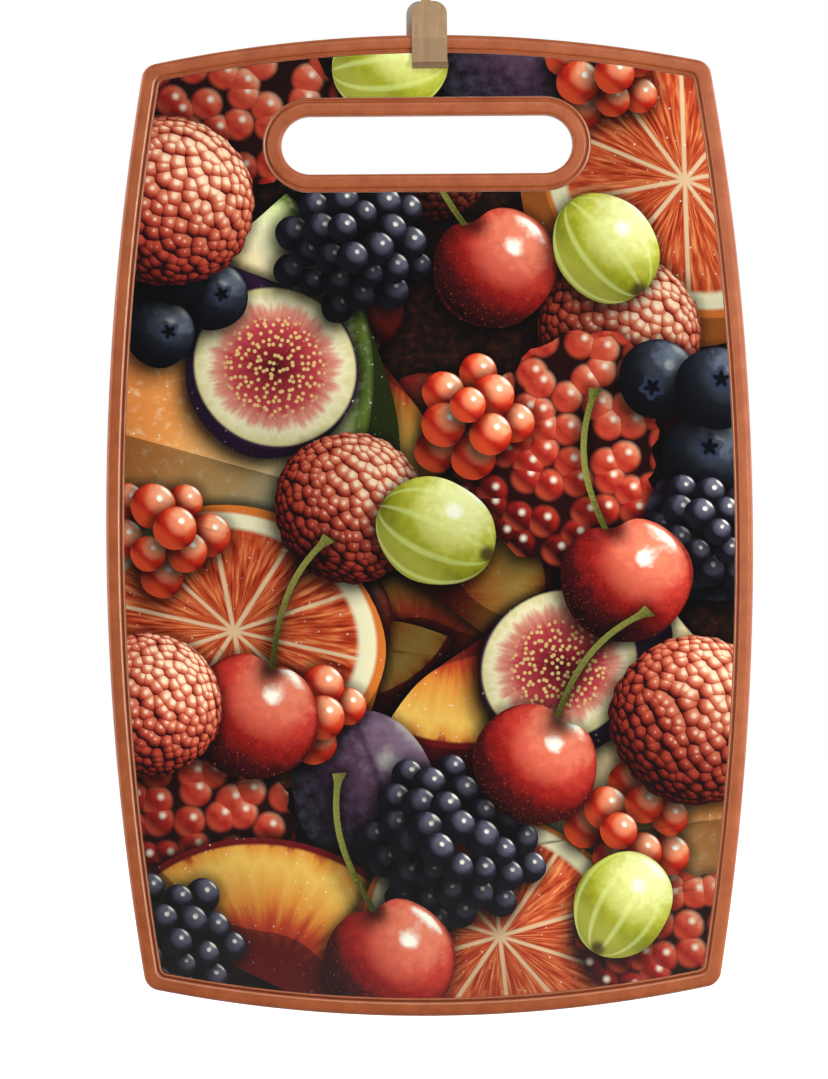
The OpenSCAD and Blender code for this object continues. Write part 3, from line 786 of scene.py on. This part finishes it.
# Between the fruits the picture is nearly black. Over it, each kind is laid where motif names it.
stops = [(0.35, "0A0504"), (0.5, "1A0B08"), (0.62, "30110C"), (0.75, "4A1810")]
picture = add(tree, "ValToRGB", {"stops": stops}, mottle)
inks = [cherry, blueberry, gooseberry, currant, elder, plum, lychee, aril, nectarine, fig, grapefruit, melon,
        stem]
for number, ink in enumerate(inks):
    here = add(tree, "Math", {"operation": "COMPARE"}, kind, float(number), 0.5)
    picture = add(tree, "Mix", MIX, here, picture, ink())
# The heap is lit in broad patches, the inks have a cast, and the film ripples a little from crest to crest.
PATCH, RIPPLE, RIPPLE_DEEP = 70, 9, 0.05 * MM
INK_CAST = (1.0, 1.13, 1.02)
patchy = add(tree, "TexNoise", None, Vector=sheet_mm, Scale=1 / PATCH, Detail=1.0)
patchy = add(tree, "MapRange", None, patchy, 0.35, 0.65, 0.82, 1.22)
picture = add(tree, "VectorMath", MUL, picture, INK_CAST)
picture = add(tree, "VectorMath", SIZED, picture, Scale=add(tree, "Math", MUL, shadow, patchy))
tree.links.new(picture.outputs[0], shader.inputs["Base Color"])
ripple = add(tree, "TexNoise", None, Vector=sheet_mm, Scale=1 / RIPPLE, Detail=1.0)
ripple = add(tree, "Bump", None, Strength=0.5, Distance=RIPPLE_DEEP, Height=ripple)
tree.links.new(ripple.outputs[0], shader.inputs["Normal"])
sheet.data.materials.append(ink_mat)

# Clip: one strip of spring steel, blanked, bent over the rim and curled into an eye, then brushed and nickel
# plated. Its edges are tumbled, so they are just rounded.
CLIP_WELD, CLIP_FLAT = 1e-3 * MM, math.radians(0.5)
CLIP_EDGE, CLIP_ROUND, CLIP_CREASE = math.radians(60), 0.12 * MM, math.radians(40)
bm = bmesh.new()
bm.from_mesh(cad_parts["hanging_clip"].data)
bmesh.ops.remove_doubles(bm, verts=bm.verts, dist=CLIP_WELD)
bmesh.ops.dissolve_limit(bm, angle_limit=CLIP_FLAT, verts=bm.verts, edges=bm.edges)
sharp = [e for e in bm.edges if e.is_manifold and e.calc_face_angle() > CLIP_EDGE]
bmesh.ops.bevel(bm, geom=sharp, offset=CLIP_ROUND, segments=2, profile=0.5, affect="EDGES", material=-1)
# The strip's inner side in the fold: faces at least this far off the middle plane that look back to it.
INNER_OFF = 0.4 * MM
inner = bm.faces.layers.float.new("inner")
for face in bm.faces:
    face[inner] = face.normal.y * face.calc_center_median().y < -INNER_OFF
clip = piece_from(bm, "clip_strip")
clip.data.shade_smooth()
clip.data.set_sharp_from_angle(angle=CLIP_CREASE)
clip.modifiers.new("flat_leaves", "WEIGHTED_NORMAL").keep_sharp = True
# Brushed champagne nickel: long fine lines down the strip, and broader dull marks from handling. The inner
# side gets painted light, a pale grey, on the back leaf's face, which lies in the front leaf's shade.
BRUSH_LINE, BRUSH_DEEP, BRUSH_STRETCH = 0.35 * MM, 0.02 * MM, 0.03
HANDLED_MARK = 1.6 * MM
clip_mat, tree, shader = finish_of("brushed_champagne_nickel", Metallic=0.8, Roughness=0.55)
place = add(tree, "TexCoord").outputs["Object"]
stretch = add(tree, "Mapping", None, Vector=place, Scale=(1.0, 1.0, BRUSH_STRETCH))
brush = add(tree, "TexNoise", None, Vector=stretch, Scale=1 / BRUSH_LINE, Detail=3.0)
tone = add(tree, "Mix", MIX, brush, linear("997C5C"), linear("AC8F6F"))
handled = add(tree, "TexNoise", None, Vector=stretch, Scale=1 / HANDLED_MARK, Detail=3.0)
handled = add(tree, "MapRange", None, handled, 0.35, 0.65, 0.86, 1.02)
tone = add(tree, "VectorMath", SIZED, tone.outputs[2], Scale=handled)
# Painted light: the inner faces get a pale grey in place of the brushed tone.
inner = add(tree, "Attribute", {"attribute_name": "inner"}).outputs["Fac"]
tone = add(tree, "Mix", MIX, inner, tone, linear("DCDACC"))
bump = add(tree, "Bump", None, Strength=0.25, Distance=BRUSH_DEEP, Height=brush)
tree.links.new(tone.outputs[2], shader.inputs["Base Color"])
tree.links.new(bump.outputs[0], shader.inputs["Normal"])
clip.data.materials.append(clip_mat)
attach(clip, "clip")
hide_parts("hanging_clip")

# Studio: a white floor in a pale room. A key lamp stands in front on the right, a soft one in front above,
# and a weak one on the left. Tall soft panels at both sides light the rim's upright edges, and a lamp behind
# lights the back.
FLOOR_DROP, FLOOR_REACH, FLOOR_GLOW = 30 * MM, 3.0, 0.93
bm = bmesh.new()
bmesh.ops.create_grid(bm, x_segments=1, y_segments=1, size=FLOOR_REACH)
bmesh.ops.translate(bm, verts=bm.verts, vec=(0, 0, rim_low.z - FLOOR_DROP))
floor = piece_from(bm, "floor")
# Matt white paint. The camera sees it as white, and so does what is mirrored of it from behind the board.
floor_mat, tree, shader = finish_of("matt_white_paint", Roughness=0.9, Base_Color=linear("A8A6A2"))
path = add(tree, "LightPath").outputs
behind = add(tree, "SeparateXYZ", None, add(tree, "TexCoord").outputs["Object"]).outputs["Y"]
behind = add(tree, "MapRange", SOFT, behind, -0.1, 0.1, 0.0, path["Is Glossy Ray"])
seen = add(tree, "Math", MOST, path["Is Camera Ray"], path["Is Transmission Ray"])
seen = add(tree, "Math", MOST, behind, seen)
shader.inputs["Emission Color"].default_value = linear("FFFFFF")
tree.links.new(add(tree, "Math", MUL, seen, FLOOR_GLOW).outputs[0], shader.inputs["Emission Strength"])
floor.data.materials.append(floor_mat)

# The camera sees the room as white. Matt surfaces take little light from it, and glossy ones mirror it dark
# in front, so that the film shows its ink, and white behind.
ROOM_LEVEL, FRONT_GLOSS_LEVEL = 0.25, 0.12
FLOAT_MIX = {"data_type": "FLOAT"}
world = bpy.data.worlds.new("studio")
world.use_nodes = True
tree = world.node_tree
tree.nodes.clear()
path = add(tree, "LightPath").outputs
behind = add(tree, "SeparateXYZ", None, add(tree, "TexCoord").outputs["Generated"]).outputs["Y"]
gloss = add(tree, "MapRange", SOFT, behind, -0.2, 0.3, FRONT_GLOSS_LEVEL, 1.0)
level = add(tree, "Mix", FLOAT_MIX, path["Is Glossy Ray"], ROOM_LEVEL, gloss)
seen = add(tree, "Math", MOST, path["Is Camera Ray"], path["Is Transmission Ray"])
level = add(tree, "Mix", FLOAT_MIX, seen, level, 1.0)
add(tree, "OutputWorld", None, add(tree, "Background", None, linear("FFFFFF"), level))
bpy.context.scene.world = world

# Each lamp's place from the board's middle, its width and height in metres, and its watts.
LAMPS = [
    ("key_lamp", (0.36, -0.45, 0.05), 0.2, 0.2, 1.85),
    ("top_lamp", (0.1, -1.0, 0.7), 0.6, 0.6, 5.9),
    ("left_lamp", (-0.9, -0.45, 0.2), 0.3, 0.3, 0.7),
    ("right_panel", (1.0, -0.1, 0.1), 0.3, 1.2, 4.0),
    ("right_back_panel", (1.0, 0.35, 0.1), 0.3, 1.2, 5.0),
    ("left_panel", (-1.0, 0.1, 0.1), 0.4, 1.2, 9.0),
    ("back_lamp", (-0.5, 1.2, 0.8), 0.7, 0.7, 8.0),
]
for name, spot, width, tall, watts in LAMPS:
    lamp = bpy.data.lights.new(name, "AREA")
    lamp.shape = "RECTANGLE"
    lamp.size, lamp.size_y = width, tall
    lamp.energy = watts
    stand = put(name, lamp)
    stand.location = board_mid + Vector(spot)
    stand.rotation_euler = (-Vector(spot)).to_track_quat("-Z", "Y").to_euler()

bpy.context.scene.view_settings.view_transform = "Standard"
